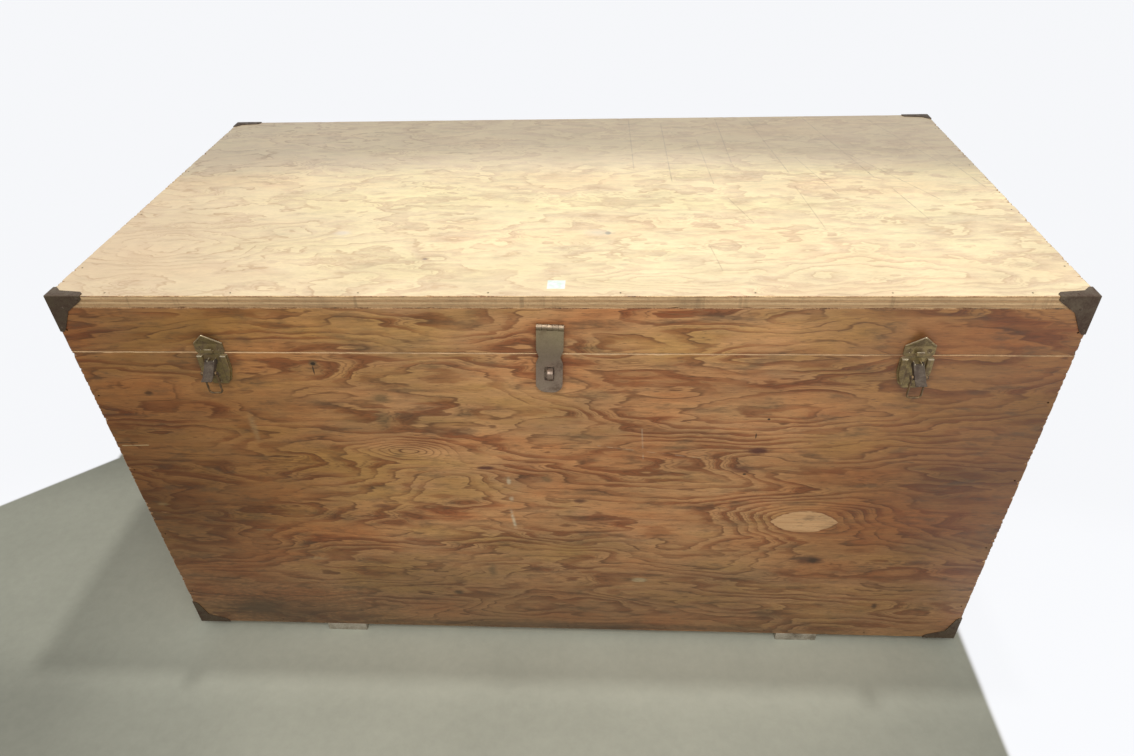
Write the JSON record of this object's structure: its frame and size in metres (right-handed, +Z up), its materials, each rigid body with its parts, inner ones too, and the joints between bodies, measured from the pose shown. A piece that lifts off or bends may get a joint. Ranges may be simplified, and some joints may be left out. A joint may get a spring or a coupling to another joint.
{
  "type": "camp chuck box",
  "caption": "Long plywood camp chest with a hinged shallow lid, steel corner caps, trunk latches, a padlock hasp, end handles and skids underneath.",
  "frame": {"origin": "on the floor, at the bottom centre of the whole object with its latches, handles and hinges", "axes": "+X to the right seen from the front, -Y out of the front with the latches and hasp, +Z up"},
  "size_m": [1.253, 0.6502, 0.6419],
  "materials": {
    "plywood": "worn varnished plywood",
    "skid_wood": "bare weathered softwood",
    "corner_steel": "dull stamped steel, browned by rust",
    "nail_steel": "dull steel",
    "hinge_steel": "dull plated steel",
    "hasp_brass": "tarnished brass plate",
    "latch_brass": "worn brass plate",
    "latch_steel": "dark worn steel",
    "bail_wire": "browned brass wire",
    "handle_steel": "dark worn steel"
  },
  "bodies": {
    "body": {"front_panel": "plywood", "back_panel": "plywood", "left_end_panel": "plywood", "right_end_panel": "plywood", "bottom_panel": "plywood", "left_skid": "skid_wood", "right_skid": "skid_wood", "base_corner_front_left": "corner_steel", "base_corner_front_right": "corner_steel", "base_corner_back_left": "corner_steel", "base_corner_back_right": "corner_steel", "left_latch_base": "latch_brass", "left_latch_rivet": "latch_steel", "right_latch_base": "latch_brass", "right_latch_rivet": "latch_steel", "left_handle_plate": "handle_steel", "right_handle_plate": "handle_steel", "hasp_staple_plate": "hasp_brass", "hasp_staple_loop": "hasp_brass", "body_brads": "nail_steel", "skid_nails": "nail_steel", "base_corner_tacks": "nail_steel", "body_screws": "nail_steel", "hinge_left_body_leaf": "hinge_steel", "hinge_left_pin": "hinge_steel", "hinge_middle_body_leaf": "hinge_steel", "hinge_middle_pin": "hinge_steel", "hinge_right_body_leaf": "hinge_steel", "hinge_right_pin": "hinge_steel"},
    "lid": {"lid_top_panel": "plywood", "lid_front_rail": "plywood", "lid_back_rail": "plywood", "lid_left_rail": "plywood", "lid_right_rail": "plywood", "lid_corner_front_left": "corner_steel", "lid_corner_front_right": "corner_steel", "lid_corner_back_left": "corner_steel", "lid_corner_back_right": "corner_steel", "left_keeper": "latch_brass", "right_keeper": "latch_brass", "hasp_leaf": "hasp_brass", "hasp_pin": "hasp_brass", "lid_brads": "nail_steel", "lid_corner_tacks": "nail_steel", "lid_screws": "nail_steel", "hinge_left_lid_leaf": "hinge_steel", "hinge_middle_lid_leaf": "hinge_steel", "hinge_right_lid_leaf": "hinge_steel"},
    "hasp_flap": {"hasp_flap": "hasp_brass"},
    "left_lever": {"left_latch_lever": "latch_steel"},
    "left_link_pin": {"left_latch_link_pin": "latch_steel"},
    "left_bail": {"left_latch_bail": "bail_wire"},
    "left_handle": {"left_handle_bail": "handle_steel"},
    "right_lever": {"right_latch_lever": "latch_steel"},
    "right_link_pin": {"right_latch_link_pin": "latch_steel"},
    "right_bail": {"right_latch_bail": "bail_wire"},
    "right_handle": {"right_handle_bail": "handle_steel"}
  },
  "joints": [
    {"name": "lid_hinge", "type": "hinge", "parent": "body", "child": "lid", "pos_m": [0, 0.32039, 0.55965], "axis": [-1, 0, 0], "range_deg": [0, 180]},
    {"name": "hasp_hinge", "type": "hinge", "parent": "lid", "child": "hasp_flap", "pos_m": [-0.0054, -0.29791, 0.6003], "axis": [-0.9986, 0, 0.0523], "range_deg": [0, 175]},
    {"name": "left_lever_pivot", "type": "hinge", "parent": "body", "child": "left_lever", "pos_m": [-0.4295, -0.30091, 0.55], "axis": [-1, 0, 0], "range_deg": [-50, 90]},
    {"name": "left_link_pin_turn", "type": "hinge", "parent": "left_lever", "child": "left_link_pin", "pos_m": [-0.4295, -0.3124, 0.54036], "axis": [-1, 0, 0], "range_deg": [-90, 50]},
    {"name": "left_bail_swing", "type": "hinge", "parent": "left_link_pin", "child": "left_bail", "pos_m": [-0.4295, -0.3124, 0.54036], "axis": [-1, 0, 0], "range_deg": [-10, 187]},
    {"name": "right_lever_pivot", "type": "hinge", "parent": "body", "child": "right_lever", "pos_m": [0.4295, -0.30091, 0.55], "axis": [-1, 0, 0], "range_deg": [-50, 90]},
    {"name": "right_link_pin_turn", "type": "hinge", "parent": "right_lever", "child": "right_link_pin", "pos_m": [0.4295, -0.3124, 0.54036], "axis": [-1, 0, 0], "range_deg": [-90, 50]},
    {"name": "right_bail_swing", "type": "hinge", "parent": "right_link_pin", "child": "right_bail", "pos_m": [0.4295, -0.3124, 0.54036], "axis": [-1, 0, 0], "range_deg": [-10, 187]},
    {"name": "left_handle_swing", "type": "hinge", "parent": "body", "child": "left_handle", "pos_m": [-0.6195, 0.01109, 0.316], "axis": [0, 1, 0], "range_deg": [0, 90]},
    {"name": "right_handle_swing", "type": "hinge", "parent": "body", "child": "right_handle", "pos_m": [0.6195, 0.01109, 0.316], "axis": [0, -1, 0], "range_deg": [0, 90]}
  ],
  "couplings": [
    {"joint": "left_link_pin_turn", "follows": "left_lever_pivot", "ratio": -1},
    {"joint": "right_link_pin_turn", "follows": "right_lever_pivot", "ratio": -1}
  ]
}
